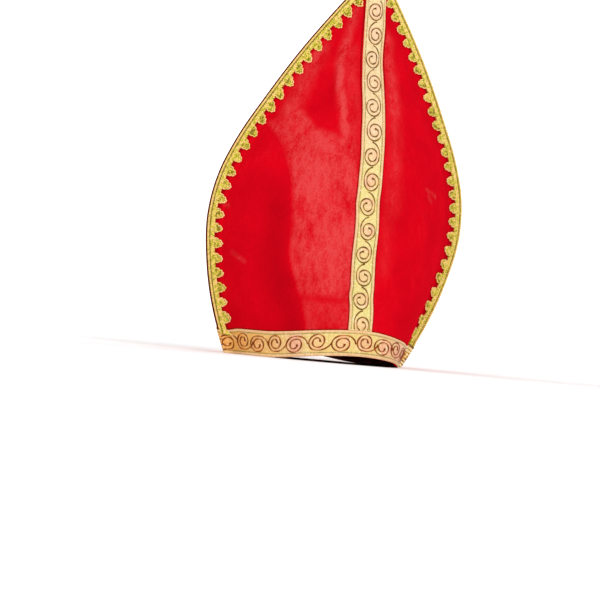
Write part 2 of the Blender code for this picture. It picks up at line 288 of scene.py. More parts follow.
# Fine relief of the front, with the columns of the folds, but across, up, length, width and
# height in metres
FRONT_CREASES = (
    (-0.0380, 0.0640, 0.046, 0.0050, 84, -0.0007),
    (-0.0300, 0.0760, 0.040, 0.0040, 96, 0.0004),
    (-0.0330, 0.1460, 0.036, 0.0045, 76, -0.0006),
    (-0.0600, 0.2330, 0.030, 0.0040, 62, 0.0006),
    (-0.0240, 0.2700, 0.046, 0.0034, 10, 0.0009),
    (-0.0330, 0.2600, 0.050, 0.0042, 6, -0.0008),
    (-0.0450, 0.2330, 0.030, 0.0040, -40, -0.0006),
    (0.0243, 0.2850, 0.050, 0.0070, 2, 0.0009),
    (0.0380, 0.1050, 0.060, 0.0080, 4, -0.0006),
    (0.0700, 0.1680, 0.012, 0.0030, 78, 0.0007),
    (0.0740, 0.1620, 0.012, 0.0024, 84, -0.0005),
    (-0.1300, 0.1430, 0.011, 0.0022, 86, 0.0006),
    (-0.1210, 0.1000, 0.014, 0.0026, 68, 0.0008),
    (-0.1180, 0.0950, 0.014, 0.0024, 66, -0.0006),
    (-0.1120, 0.1900, 0.016, 0.0030, 60, 0.0006),
)
WAVE_HEIGHT = 0.00035
WAVES = 9
# The puckers that the braid's seam draws in the cloth begin under its fans.
PUCKERS = 44
PUCKER_HEIGHT = 0.00045
PUCKER_WIDTH = 0.0024
PUCKER_UNDER = 0.006
PUCKER_FADE = 0.011


def relief_of(rows, seed):
    """Creases, puckers beside the braid and a slow unevenness, as a function."""
    chance = np.random.default_rng(seed)
    waves = [
        (chance.uniform(60, 190), chance.uniform(0, math.pi), chance.uniform(0, 2 * math.pi))
        for _ in range(WAVES)
    ]
    tucks = [(chance.uniform(0.03, 0.36), chance.uniform(0.5, 1.0)) for _ in range(PUCKERS)]

    def relief(across, from_edge, z):
        total = bumps(rows, across, z)
        for pace, turn, start in waves:
            along = across * math.cos(turn) + z * math.sin(turn)
            total = total + WAVE_HEIGHT / 2 * np.sin(pace * along + start)
        tucked = 0.0
        for number, (place, size) in enumerate(tucks):
            own = across > 0 if number % 2 else across < 0
            tucked = tucked + own * size * hill(z - place, PUCKER_WIDTH)
        beside = from_edge - BRAID_REACH + PUCKER_UNDER
        near = smooth_step(beside / PUCKER_UNDER) * np.exp(-np.maximum(beside, 0) / PUCKER_FADE)
        total = total + PUCKER_HEIGHT * near * tucked
        return total * smooth_step(beside / 0.01)

    return relief


# How far the front band's top edge comes down toward its ends, by its share of the half width
BAND_DIPS = (
    (-1, 0.84, 0.13, 0.0024),
    (1, 0.03, 0.32, 0.0026),
    (1, 0.75, 0.20, 0.0014),
)


def band_dip(share):
    return eased(BAND_DIPS, share)


front = Panel(-1, FRONT_FOLDS, relief_of(FRONT_CREASES, seed=11), band_dip)
back = Panel(1, BACK_FOLDS, relief_of((), seed=23), np.zeros_like)


def placed(name, data):
    """A new object in the scene."""
    made = bpy.data.objects.new(name, data)
    bpy.context.scene.collection.objects.link(made)
    return made


def cloth_map(across, along):
    """A grid of places on the cloth map."""
    return np.stack(np.broadcast_arrays(across, along), axis=2)


PLY_SWELL = 0.16  # the two plies of a twisted cord stand out by this share


class Work:
    """Gathers the faces of one piece, with a place on the cloth, a tone and a nap at each
    point."""

    def __init__(self):
        self.points, self.uvs, self.tones, self.naps = [], [], [], []
        self.faces, self.slots, self.count = [], [], 0

    def add(self, points, uvs, tone, nap, faces, slots):
        self.points.append(points.reshape(-1, 3))
        self.uvs.append(uvs.reshape(-1, 2))
        self.tones.append(tone)
        self.naps.append(nap)
        self.faces += [[i + self.count for i in face] for face in faces]
        self.slots += slots
        self.count += len(tone)

    def sheet(self, outer, inner, uvs, tone, nap=0.0, inner_slot=0):
        """A closed sheet between two grids."""
        shape = outer.shape[:2]
        at = np.arange(shape[0] * shape[1]).reshape(shape)
        quads = np.stack([at[:-1, :-1], at[:-1, 1:], at[1:, 1:], at[1:, :-1]], axis=2)
        quads = quads.reshape(-1, 4)
        rim = np.concatenate([at[0, :-1], at[:-1, -1], at[-1, :0:-1], at[:0:-1, 0]])
        after = np.roll(rim, -1)
        sides = np.stack([rim, after, after + at.size, rim + at.size], axis=1)
        faces = np.concatenate([quads, quads[:, ::-1] + at.size, sides]).tolist()
        slots = [0] * len(quads) + [inner_slot] * len(quads) + [0] * len(sides)
        tone, nap = (np.tile(np.broadcast_to(value, shape).ravel(), 2) for value in (tone, nap))
        self.add(np.stack([outer, inner]), np.stack([uvs, uvs]), tone, nap, faces, slots)

    def tube(self, path, up, wide, high, tone=0.5, sides=6, twist=0.0):
        """A round or flattened cord along a path; up is the cloth's normal there."""
        along = unit(np.gradient(path, axis=0))
        beside = unit(np.cross(along, up))
        over = np.cross(beside, along)
        length = run_length(*path.T)[:, None]
        turns = 2 * math.pi * np.arange(sides) / sides - math.pi / 2
        ply = np.ones((len(path), sides))
        if twist:
            ply += PLY_SWELL * np.cos(2 * turns - 2 * math.pi * length / twist)
        wide, high, tone = (np.broadcast_to(v, len(path))[:, None] for v in (wide, high, tone))
        rings = (path[:, None] + beside[:, None] * (np.cos(turns) * ply * wide)[..., None]
                 + over[:, None] * (np.sin(turns) * ply * high)[..., None])
        at = np.arange(ply.size).reshape(ply.shape)
        after = np.roll(at, -1, axis=1)
        quads = np.stack([at[:-1], after[:-1], after[1:], at[1:]], axis=2).reshape(-1, 4)
        faces = quads.tolist() + [at[0, ::-1].tolist(), at[-1].tolist()]
        uvs = cloth_map(np.arange(sides) / sides, length)
        self.add(rings, uvs, np.repeat(tone, sides), np.zeros(ply.size), faces,
                 [0] * len(faces))

    def make(self, name, materials, sharp=40):
        mesh = bpy.data.meshes.new(name)
        mesh.from_pydata(np.concatenate(self.points).tolist(), [], self.faces)
        for material in materials:
            mesh.materials.append(material)
        mesh.polygons.foreach_set("material_index", self.slots)
        corners = np.zeros(len(mesh.loops), dtype=np.int32)
        mesh.loops.foreach_get("vertex_index", corners)
        layer = mesh.uv_layers.new(name="cloth")
        layer.data.foreach_set("uv", np.concatenate(self.uvs)[corners].ravel())
        for key, values in (("tone", self.tones), ("nap", self.naps)):
            kept = mesh.attributes.new(key, "FLOAT", "POINT")
            kept.data.foreach_set("value", np.concatenate(values).astype(np.float32))
        shape = bmesh.new()
        shape.from_mesh(mesh)
        bmesh.ops.recalc_face_normals(shape, faces=shape.faces)
        shape.to_mesh(mesh)
        shape.free()
        mesh.shade_smooth()
        mesh.set_sharp_from_angle(angle=math.radians(sharp))
        return placed(name, mesh)


# Materials

def put(tree, socket, value):
    if isinstance(value, Field):
        tree.links.new(value.socket, socket)
    else:
        socket.default_value = value


class Field:
    """A number, place or colour over a surface: one output of a new node."""

    def __init__(self, tree, kind, inputs, output=0, **settings):
        node = tree.nodes.new("ShaderNode" + kind)
        for key, value in settings.items():
            setattr(node, key, value)
        for key, value in inputs.items():
            put(tree, node.inputs[key], value)
        self.tree, self.socket = tree, node.outputs[output]

    def calc(self, operation, other=0.0, clamp=False):
        return Field(self.tree, "Math", {0: self, 1: other}, operation=operation,
                     use_clamp=clamp)

    def __add__(self, other):
        return self.calc("ADD", other)

    def __sub__(self, other):
        return self.calc("SUBTRACT", other)

    def __mul__(self, other):
        return self.calc("MULTIPLY", other)

    def __abs__(self):
        return self.calc("ABSOLUTE")

    def ranged(self, low, high, to_low=0.0, to_high=1.0):
        """Its way from low to high, eased, as the way from to_low to to_high."""
        ends = {"From Min": low, "From Max": high, "To Min": to_low, "To Max": to_high}
        return Field(self.tree, "MapRange", {"Value": self, **ends},
                     interpolation_type="SMOOTHSTEP")


class Paint:
    """A material, the fields that it is made of and the colour laid on so far."""

    def __init__(self, name):
        self.material = bpy.data.materials.new(name)
        self.material.use_nodes = True
        self.tree = self.material.node_tree
        self.place = Field(self.tree, "TexCoord", {}, "Object")

    def noise(self, scale, detail=2.0, rough=0.5, place=None):
        inputs = {"Vector": place or self.place, "Scale": scale, "Detail": detail,
                  "Roughness": rough}
        return Field(self.tree, "TexNoise", inputs)

    def attribute(self, name):
        return Field(self.tree, "Attribute", {}, "Fac", attribute_name=name)

    def cloth(self):
        """The two lengths of the cloth map, across and along."""
        uv = Field(self.tree, "UVMap", {}, uv_map="cloth")
        return (Field(self.tree, "SeparateXYZ", {0: uv}, axis) for axis in (0, 1))

    def mixed(self, factor, first, second):
        first, second = (value if isinstance(value, Field) else (*value, 1.0)
                         for value in (first, second))
        return Field(self.tree, "Mix", {0: factor, 6: first, 7: second}, 2, data_type="RGBA")

    def lay(self, factor, colour):
        """Lays a colour over the others, fully where the factor is 1."""
        self.base = self.mixed(factor, self.base, colour)

    def bump(self, height, distance, strength):
        inputs = {"Height": height, "Distance": distance, "Strength": strength}
        return Field(self.tree, "Bump", inputs)

    def finish(self, looks):
        """The material, with its shader's inputs as given."""
        shader = self.tree.nodes["Principled BSDF"]
        for key, value in {"Base Color": self.base, **looks}.items():
            put(self.tree, shader.inputs[key], value)
        return self.material


# Painted shadow: the pile is dark in the thin lines where the ribbons lie on it.
CONTACT_BESIDE = RIBBON_WIDTH / 2 + 0.0004
CONTACT_ABOVE = BAND_TOP + 0.0005
PAINTED_CONTACT_SHADOW = (0.16, 0.004, 0.001)
SHADED_PILE = (0.36, 0.001, 0.006)
FLECK_RED = (0.44, 0.001, 0.007)
PAINTED_EDGE_SHADE = (0.075, 0.006, 0.008)


def velour(name, deep, plain, crushed_sheen):
    """Short shiny pile: deep where it stands to the eye, painted pale as a sheen highlight where
    it lies flat, and painted dark as shade where the nap is below 0.
    """
    paint = Paint(name)
    grain = paint.noise(1500.0, 2.0, 0.6)
    fleck = paint.noise(640.0, 3.0, 0.6)
    cloud = paint.noise(34.0, 4.0, 0.55)
    nap = paint.attribute("nap")
    # Strokes in the pile, slanting down to the left, loosen the patches of painted sheen
    # highlight.
    slant = Field(paint.tree, "Mapping", {"Vector": paint.place, "Scale": (1.0, 1.0, 0.34),
                                          "Rotation": (0.0, math.radians(38), 0.0)})
    stroke = paint.noise(700.0, 3.0, 0.65, slant)
    brush = paint.noise(170.0, 3.0, 0.6, slant)
    loose = (fleck * 0.22 + stroke * 0.30 + brush * 0.48).ranged(0.38, 0.62, -0.40, 0.40)
    swing = (loose + cloud.ranged(0.34, 0.66, -0.16, 0.16)) * nap.ranged(0.0, 0.6, 0.06, 1.0)
    lit = nap.calc("ADD", swing, clamp=True)
    paint.base = paint.mixed(cloud.ranged(0.30, 0.70), deep, plain)
    # Painted shade where the nap is below 0, and over it the painted sheen highlight where the
    # nap is high.
    paint.lay(nap.ranged(-1.0, 0.0, 1.0, 0.0), SHADED_PILE)
    paint.lay(lit, crushed_sheen)
    paint.lay(grain.ranged(0.35, 0.80, 0.0, 0.14), deep)
    paint.lay(fleck.ranged(0.36, 0.64, 0.18, 0.0), FLECK_RED)
    u, v = paint.cloth()
    # Painted contact shadow in thin lines beside the strip and above the band.
    for line in (abs(u) - CONTACT_BESIDE, v - CONTACT_ABOVE):
        paint.lay(abs(line).ranged(0.0003, 0.0013, 0.7, 0.0), PAINTED_CONTACT_SHADOW)
    # Painted shade along the cloth's edge, from the tone attribute.
    paint.lay(paint.attribute("tone"), PAINTED_EDGE_SHADE)
    return paint.finish({
        "Roughness": lit.ranged(0.0, 1.0, 0.85, 0.62),
        "Specular IOR Level": 0.0,
        "Sheen Weight": 0.12,
        "Sheen Roughness": 0.40,
        "Sheen Tint": (1.0, 0.02, 0.05, 1.0),
        "Normal": paint.bump(grain + loose * 1.2, 0.0003, 0.6),
    })


def backing(name):
    """The dull side of the stiffened cloth."""
    paint = Paint(name)
    felt = paint.noise(900.0, 4.0, 0.7)
    cloud = paint.noise(40.0, 3.0, 0.5)
    paint.base = paint.mixed(felt.ranged(0.3, 0.7), (0.30, 0.012, 0.016), (0.42, 0.03, 0.03))
    paint.lay(cloud.ranged(0.3, 0.7, 0.0, 0.35), (0.24, 0.01, 0.014))
    return paint.finish({"Roughness": 0.9, "Normal": paint.bump(felt, 0.0004, 0.7)})


SCROLL_PITCH = 0.0228
RIB_PITCH = 0.00085
WARP_PITCH = 0.00062
EDGE_LINE = 0.0090  # a thin dark line runs inside each selvage, this far from the middle
FIELD_GOLDS = (0.95, 0.78, 0.30), (0.86, 0.78, 0.25)
ROUND_PEACHES = (0.98, 0.68, 0.33), (0.98, 0.54, 0.33)
ORANGE_GOLD = (1.00, 0.44, 0.04)
PALE_GOLD = (0.98, 0.76, 0.50)
PINK_GOLD = (1.00, 0.41, 0.36)
SELVAGE_GOLD = (1.00, 0.62, 0.32)


def galloon(name):
    """Woven metallic ribbon: the cloth map is across from its middle and along it."""
    paint = Paint(name)
    u, v = paint.cloth()
    tone, nap = paint.attribute("tone"), paint.attribute("nap")
    blot, patch = paint.noise(95.0, 3.0, 0.6), paint.noise(26.0, 2.0, 0.5)
    fleck, speck = paint.noise(1300.0, 2.0, 0.7), paint.noise(480.0, 2.0, 0.65)
    # Rounds of peach under the scrolls, on a gold field
    turn = v.calc("DIVIDE", SCROLL_PITCH)
    near = (turn - turn.calc("ROUND")) * SCROLL_PITCH
    radius = (near * near + u * u).calc("SQRT")
    inside = radius.ranged(0.0066, 0.0086, 1.0, 0.0) * blot.ranged(0.30, 0.56, 0.35, 1.0)
    inside = inside * nap.ranged(-0.8, -0.2)
    paint.base = paint.mixed(blot.ranged(0.35, 0.68), *FIELD_GOLDS)
    paint.lay(inside, paint.mixed(patch.ranged(0.36, 0.64), *ROUND_PEACHES))
    # On the rim bands the orange and the pink are painted light: shade toward one end, sheen
    # toward the other.
    paint.lay(tone * 0.84, ORANGE_GOLD)
    paint.lay(tone.ranged(-1.0, 0.0, 0.8, 0.0), PALE_GOLD)
    paint.lay(nap * 0.50, PINK_GOLD)
    paint.lay(abs(u).ranged(0.0094, 0.0101), SELVAGE_GOLD)
    line = abs(abs(u) - EDGE_LINE).ranged(0.0002, 0.0009, 1.0, 0.0)
    paint.lay(blot.ranged(0.34, 0.60, 0.25, 0.75) * line, (0.34, 0.24, 0.05))
    # Ribs across the ribbon, crossed by finer warp threads
    ribs = (v * (2 * math.pi / RIB_PITCH)).calc("SINE")
    warp = (u * (2 * math.pi / WARP_PITCH)).calc("SINE")
    weave = ribs + warp * 0.6
    # The hollows of the weave are painted darker, as shade.
    paint.lay(weave.ranged(-1.6, 1.2, 0.22, 0.0), (0.48, 0.28, 0.06))
    # Dark and shining specks of two sizes
    paint.lay(fleck.ranged(0.62, 0.78, 0.0, 0.55), (1.0, 0.93, 0.62))
    paint.lay(fleck.ranged(0.22, 0.38, 0.35, 0.0), (0.50, 0.32, 0.08))
    paint.lay(speck.ranged(0.32, 0.46, 0.40, 0.0), (0.66, 0.42, 0.09))
    paint.lay(speck.ranged(0.54, 0.68, 0.0, 0.62), (1.0, 0.93, 0.60))
    return paint.finish({
        "Roughness": fleck.ranged(0.3, 0.7, 0.55, 0.38),
        "Metallic": 0.14,
        "Specular IOR Level": 0.4,
        "Normal": paint.bump(weave + fleck * 1.2, 0.00012, 0.8),
    })


THREAD_TWIST = 0.0011


def thread(name, dark, mid, light, metallic, rough, specular):
    """Twisted thread: tone picks the colour, and the twist runs along the cloth map."""
    paint = Paint(name)
    u, v = paint.cloth()
    fleck, blot = paint.noise(760.0, 2.0, 0.7), paint.noise(330.0, 2.0, 0.6)
    uneven = blot.ranged(0.32, 0.68, -0.36, 0.36)
    tone = paint.attribute("tone").calc("ADD", uneven, clamp=True)
    paint.base = paint.mixed(tone.ranged(0.0, 0.55), dark, mid)
    paint.lay(tone.ranged(0.45, 1.0), light)
    # Painted glints in the light colour, then dark specks.
    paint.lay(fleck.ranged(0.60, 0.74, 0.0, 0.60), light)
    paint.lay(fleck.ranged(0.30, 0.44, 0.75, 0.0), dark)
    twist = (v * (2 * math.pi / THREAD_TWIST) + u * (4 * math.pi)).calc("SINE")
    return paint.finish({
        "Roughness": rough,
        "Metallic": metallic,
        "Specular IOR Level": specular,
        "Normal": paint.bump(twist, 0.00010, 0.8),
    })


RED = velour("red_velour", (0.58, 0.0012, 0.0080), (0.67, 0.0012, 0.0090),
             (0.70, 0.056, 0.059))
DULL = backing("red_backing")
GOLD = galloon("gold_galloon")
GIMP = thread("gold_gimp", (0.26, 0.17, 0.006), (0.70, 0.66, 0.035), (1.00, 0.66, 0.26),
              0.15, 0.50, 0.5)
BROWN = thread("brown_thread", (0.15, 0.055, 0.005), (0.30, 0.140, 0.020), (0.46, 0.25, 0.06),
               0.0, 0.8, 0.1)
RUST = thread("rust_thread", (0.20, 0.034, 0.004), (0.34, 0.075, 0.012), (0.57, 0.20, 0.06),
              0.0, 0.8, 0.1)
BINDING = thread("binding_thread", (0.12, 0.022, 0.003), (0.95, 0.54, 0.09), (1.00, 0.84, 0.44),
                 0.10, 0.55, 0.4)
STITCH = thread("stitch_thread", (0.26, 0.19, 0.03), (0.42, 0.33, 0.08), (0.62, 0.50, 0.20),
                0.1, 0.5, 0.4)

# Nap: where the pile lies flat on the front, painted pale as a sheen highlight. Strokes are from
# one point to
# another on the cloth: across, z, across, z, half width, strength, all in metres but the last.
# The short ones beyond the field are painted highlights on small creases.
STROKE_COLUMNS = ("across_a", "z_a", "across_b", "z_b", "width", "strength")
STROKES = (
    (-0.0205, 0.341, -0.0275, 0.311, 0.0044, 0.45),
    (-0.0275, 0.311, -0.0345, 0.285, 0.0044, 0.65),
    (-0.0345, 0.285, -0.0350, 0.262, 0.0042, 0.90),
    (-0.0350, 0.262, -0.0306, 0.2187, 0.0040, 0.95),
    (-0.0529, 0.301, -0.0887, 0.234, 0.0072, 0.50),
    (-0.0235, 0.300, -0.0225, 0.180, 0.0075, 0.26),
    (0.0140, 0.315, 0.0210, 0.245, 0.0075, 0.42),
    (0.0200, 0.245, 0.0230, 0.150, 0.0085, 0.24),
    (0.0180, 0.150, 0.0180, 0.090, 0.0070, 0.12),
    (0.0681, 0.1727, 0.0892, 0.1677, 0.0020, 0.40),
    (0.0700, 0.1670, 0.0800, 0.1620, 0.0016, 0.32),
    (-0.1530, 0.1420, -0.1440, 0.1400, 0.0018, 0.45),
    (-0.1395, 0.0960, -0.1240, 0.0880, 0.0020, 0.40),
)
# The field of painted sheen highlight, where the pile lies flat: its left-hand border as across
# against z, and its top as z against across.
FIELD_LEFT = ((0.00, -0.0530), (0.033, -0.0562), (0.053, -0.0615), (0.070, -0.0670),
              (0.081, -0.0717), (0.097, -0.0758), (0.149, -0.0762), (0.176, -0.0812),
              (0.195, -0.0885), (0.206, -0.0945), (0.223, -0.1089), (0.240, -0.1150))
FIELD_TOP = ((-0.110, 0.223), (-0.091, 0.230), (-0.077, 0.239), (-0.071, 0.2356),
             (-0.059, 0.2212), (-0.046, 0.2172), (-0.0335, 0.2144), (-0.0290, 0.220),
             (-0.0250, 0.212), (-0.0200, 0.196), (-0.0150, 0.180))
# Lighter and darker patches in the field: painted highlight and painted shade.
PATCH_COLUMNS = ("across", "z", "half_width", "half_height", "strength")
PATCHES = (
    (-0.0520, 0.176, 0.024, 0.026, 0.34),
    (-0.0330, 0.104, 0.020, 0.017, 0.34),
    (-0.0380, 0.073, 0.017, 0.006, 0.30),
    (-0.0600, 0.205, 0.016, 0.012, 0.14),
    (-0.0250, 0.149, 0.022, 0.008, -0.16),
    (-0.0400, 0.0585, 0.040, 0.005, -0.42),
    (-0.0400, 0.040, 0.040, 0.013, -0.24),
)
FIELD_STRENGTH = 0.50


def nap_at(across, z):
    """How pale the front's pile is painted as a sheen highlight where it lies flat, up to 1, and
    below 0 where it is painted in shade.
    """
    left = np.interp(z, *zip(*FIELD_LEFT))
    top = np.interp(across, *zip(*FIELD_TOP))
    field = smooth_step((across - left) / 0.0085 + 0.35) * smooth_step((top - z) / 0.009 + 0.4)
    field = field * smooth_step((0.012 - across) / 0.014)
    level = FIELD_STRENGTH
    for patch in rows_of(PATCH_COLUMNS, PATCHES):
        near = hill(across - patch["across"], patch["half_width"])
        level = level + patch["strength"] * near * hill(z - patch["z"], patch["half_height"])
    total = field * level
    for stroke in rows_of(STROKE_COLUMNS, STROKES):
        start = np.array([stroke["across_a"], stroke["z_a"]])
        run = np.array([stroke["across_b"], stroke["z_b"]]) - start
        offset_a, offset_z = across - start[0], z - start[1]
        share = np.clip((offset_a * run[0] + offset_z * run[1]) / (run @ run), 0, 1)
        away = np.hypot(offset_a - share * run[0], offset_z - share * run[1])
        total = np.maximum(total, stroke["strength"] * hill(away, stroke["width"]))
    shade = -0.55 * hill(across - left + 0.016, 0.020) * (across < left)
    return np.where(total < 0.05, total + shade * smooth_step((0.19 - z) / 0.05), total)


# The strip is sewn on a little to the wearer's right of the middle: level, and how far.
# The third number is the share of its width that lies flat.
STRIP_COLUMNS = ("level", "sway", "width")
STRIP_SWAY = (
    (0.000, -0.0030, 1.00),
    (0.026, -0.0034, 1.00),
    (0.075, -0.0039, 1.00),
    (0.130, -0.0031, 1.00),
    (0.210, -0.0030, 1.00),
    (0.245, -0.0026, 0.98),
    (0.268, -0.0023, 0.94),
    (0.288, -0.0018, 0.89),
    (0.308, -0.0012, 0.89),
    (0.330, -0.0006, 0.93),
    (0.376, 0.0000, 0.94),
)


def strip_at(level):
    """The strip's sway and its share of the ribbon's width at a level."""
    table = dict(zip(STRIP_COLUMNS, zip(*STRIP_SWAY)))
    return (np.interp(level, table["level"], table[key]) for key in ("sway", "width"))


NO_STRIP = -1.0  # far off the cloth
EDGE_SHADE_WIDTH = 0.0009  # painted shade along the cloth's cut edge covers this much
BRAID_SHADE = 0.0042  # the pile is shaded this far beside the braid's header


def make_panel(name, panel, nap, strip_middle):
    """The cloth map is across from the strip's middle, and the level over the band's dip."""
    work = Work()
    level = panel.levels[:, None] + panel.dip(panel.across / panel.ends[:, 1:])
    # The tone is painted shade along the cloth's edge.
    edge = 0.9 * smooth_step(2 - panel.from_edge / EDGE_SHADE_WIDTH)
    uvs = cloth_map(panel.across - strip_middle, level)
    work.sheet(panel.outer, panel.inner, uvs, edge, nap, inner_slot=1)
    return work.make(name, [RED, DULL])


# The front's nap is painted light: a sheen highlight where the pile lies flat, and shade beside
# the braid's header.
front_nap = nap_at(front.across, front.outer[..., 2])
from_header = front.from_edge - EDGE_REVEAL - BRAID_HEADER
front_nap = front_nap - smooth_step(1.3 - from_header / BRAID_SHADE)
strip_middle, _ = strip_at(front.levels[:, None])
velour_front = make_panel("velour_front", front, front_nap, strip_middle)
# The back has a faint painted sheen, strongest in a band near its middle.
back_nap = 0.07 + 0.05 * np.sin(40 * back.across + 9 * back.outer[..., 2])
back_nap = back_nap + 0.16 * hill(back.across + 0.02, 0.035)
velour_back = make_panel("velour_back", back, back_nap, NO_STRIP)

# Ribbons

RIBBON_SEAT = 0.0001
RIBBON_BODY = 0.0007
BAND_MIDDLE = RIM_REVEAL + RIBBON_WIDTH / 2
SELVAGE = 0.0021
SELVAGE_HIGH = 0.00035
STITCH_AT = 0.0092  # from the ribbon's middle
STITCH_GROOVE = 0.00022
SIDE_ROUND = 0.0007  # the ribbon's sides are rounded over this much
END_REVEAL = 0.0004
RIM_TURN = 0.0001  # the band's foot is turned over the cloth's edge to this level
RIBBON_SHARES = (-1, -0.99, -0.965, -0.93, -0.89, -0.85, -0.82, -0.79, -0.755, -0.72, -0.66,
                 -0.5, -0.33, -0.16, 0)
RIBBON_HALF = np.array(RIBBON_SHARES) * RIBBON_WIDTH / 2
RIBBON_COLUMNS = np.append(RIBBON_HALF, -RIBBON_HALF[-2::-1])
BAND_PHASE = 0.0035  # where the middle of the band's middle scroll stands
BAND_STEPS = 361
PINK_SHARE = -0.413  # one scroll stands on a pink round, this share out from the middle


def ribbon_profile(u):
    """The height of the ribbon's face over its seat, u from its middle."""
    from_side = RIBBON_WIDTH / 2 - np.abs(u)
    roll = np.where(from_side < SELVAGE, rounded(from_side / (SELVAGE / 2), 2), 0)
    side = 0.35 + 0.65 * rounded(from_side / SIDE_ROUND)
    groove = STITCH_GROOVE * hill(np.abs(u) - STITCH_AT, 0.0007)
    return RIBBON_BODY * side + SELVAGE_HIGH * roll - groove


def dipped(panel, share, u):
    """The level at u over the band's middle, share from -1 to 1 along the band."""
    return BAND_MIDDLE + u - panel.dip(share) * (0.5 + u / RIBBON_WIDTH)


def band_level(panel, along, u):
    return dipped(panel, along / panel.end(BAND_MIDDLE + u, 1), u)


def band_place(panel, along, u, lift):
    """A point on the rim band: along from the panel's middle, u from the band's middle."""
    return panel.on(band_level(panel, along, u), along, lift)


def make_band(name, panel):
    """The rim band, cut off along the seam edge at both ends."""
    u = RIBBON_COLUMNS[:, None]
    shares = np.linspace(-1, 1, BAND_STEPS)[None, :]
    level = dipped(panel, shares, u)
    level[0] = RIM_TURN
    reach = np.where(shares < 0, panel.end(level, -1), panel.end(level, 1)) - END_REVEAL
    along = shares * reach
    outer = panel.on(level, along, RIBBON_SEAT + ribbon_profile(u))[0]
    inner = panel.on(level, along, RIBBON_SEAT)[0]
    # Painted light: the gold goes to orange toward one end, where the band turns from the light,
    # and to a pink sheen toward the other.
    orange = 0.22 + 0.78 * smooth_step((-0.30 - shares) / 0.60)
    pink = 0.10 + 0.95 * smooth_step((shares - 0.05) / 0.25)
    pink = pink + 1.10 * hill(shares - PINK_SHARE, 0.055)
    work = Work()
    work.sheet(outer, inner, cloth_map(u, along - BAND_PHASE), orange, pink)
    return work.make(name, [GOLD])


# One scroll of the running wave, as the turn in degrees from the left of its middle and the
# radius in millimetres there. It starts under the scroll before.
SCROLL_COLUMNS = ("turn", "radius")
SCROLL_LINE = (
    (-92, 13.5), (-49, 10.5), (0, 7.9), (48, 9.4), (90, 10.6), (134, 9.1), (180, 7.9),
    (225, 8.1), (266, 7.7), (312, 6.6), (360, 5.1), (412, 5.6), (450, 6.0), (498, 5.2),
    (545, 4.3), (593, 3.0), (625, 2.5),
)
# The line's half width, its tone, and how short the scrolls of either hand are.
BAND_LINE = (0.00068, 0.15, {1: 0.81, -1: 0.94})
STRIP_LINE = (0.00060, 0.10, {1: 0.91, -1: 0.91})
SCROLL_NARROW = 0.89  # the scrolls are narrower than they are long
SCROLL_HIGH = 0.00028
SCROLL_WANDER = 0.0007  # scrolls sit by turns to one side and the other


SCROLL_POINTS = 96
SCROLL_EASE = 9  # of them are drawn together to round the line
SCROLL_REACH = 0.0112  # no line goes farther from the ribbon's middle
SHORTEST_PART = 6  # a cut-off part of a line with fewer points is left out


def scroll_path(hand, short):
    """One scroll's line: u across the ribbon and v along it from the scroll's middle."""
    table = dict(zip(SCROLL_COLUMNS, zip(*SCROLL_LINE)))
    turns = table["turn"]
    fine = np.linspace(turns[0], turns[-1], SCROLL_POINTS)
    kernel = np.hanning(SCROLL_EASE) / np.hanning(SCROLL_EASE).sum()
    radius = np.interp(fine, turns, table["radius"]) / 1000
    radius = np.pad(radius, SCROLL_EASE // 2, mode="edge")
    radius = np.convolve(radius, kernel, "valid")
    angle = np.radians(fine)
    length = radius * (1 - (1 - short) * smooth_step((fine - turns[0]) / 100))
    return -hand * SCROLL_NARROW * radius * np.cos(angle), length * np.sin(angle)


def make_scrolls(name, panel, place, centres, limit, first_hand, material, line):
    """The running scrolls of one ribbon. The woven line is dark and thick where it runs
    across the ribbon, and pale and thin where it runs along it. limit says which of its
    points lie between the ribbon's ends."""
    work = Work()
    wide, tone, short = line
    for number, centre in enumerate(centres):
        hand = first_hand * (-1) ** number
        u, v = scroll_path(hand, short[hand])
        u = u + SCROLL_WANDER * hand
        along = centre - v
        keep = limit(along, u)
        slope_u, slope_v = np.gradient(u), np.gradient(v)
        crossing = np.abs(slope_u) / np.hypot(slope_u, slope_v)
        beat = np.sin(np.linspace(0, 15 * math.pi, len(u)) + number)
        swell = 0.78 + 0.40 * crossing + 0.20 * beat
        shade = tone + 0.50 * (1 - crossing) - 0.18 * beat
        # It ends in a dark dot.
        swell[-7:] = np.linspace(1.3, 2.2, 7)
        shade[-7:] = 0.0
        edges = np.flatnonzero(np.diff(np.pad(keep.astype(int), 1)))
        for first, last in zip(edges[::2], edges[1::2]):
            if last - first < SHORTEST_PART:
                continue
            part = slice(first, last)
            lift = RIBBON_SEAT + ribbon_profile(u[part]) + SCROLL_HIGH * 0.35
            points, normals = place(panel, along[part], u[part], lift)
            work.tube(points, normals, wide * swell[part], SCROLL_HIGH, shade[part])
    return work.make(name, [material], sharp=60)


# The weave is drawn together a little where the band turns to its ends.
BAND_SHIFTS = (
    (1, 0.000, 0.046, -0.0070),
    (-1, 0.100, 0.060, 0.0060),
    (1, 0.105, 0.020, -0.0040),
)
END_MARGIN = 0.0012
# The front band's end at the wearer's left is bound over the seam's margin.
BINDING_LENGTH = 0.0100
BINDING_SLANT = math.radians(27)
BINDING_STEP = 0.00270
BINDING_MARGIN = 0.0036


def on_band(panel, left_margin):
    def limit(along, u):
        level = band_level(panel, along, u)
        right = (along > -panel.end(level, -1) + END_MARGIN) & (np.abs(u) < SCROLL_REACH)
        return right & (along < panel.end(level, 1) - left_margin)
    return limit


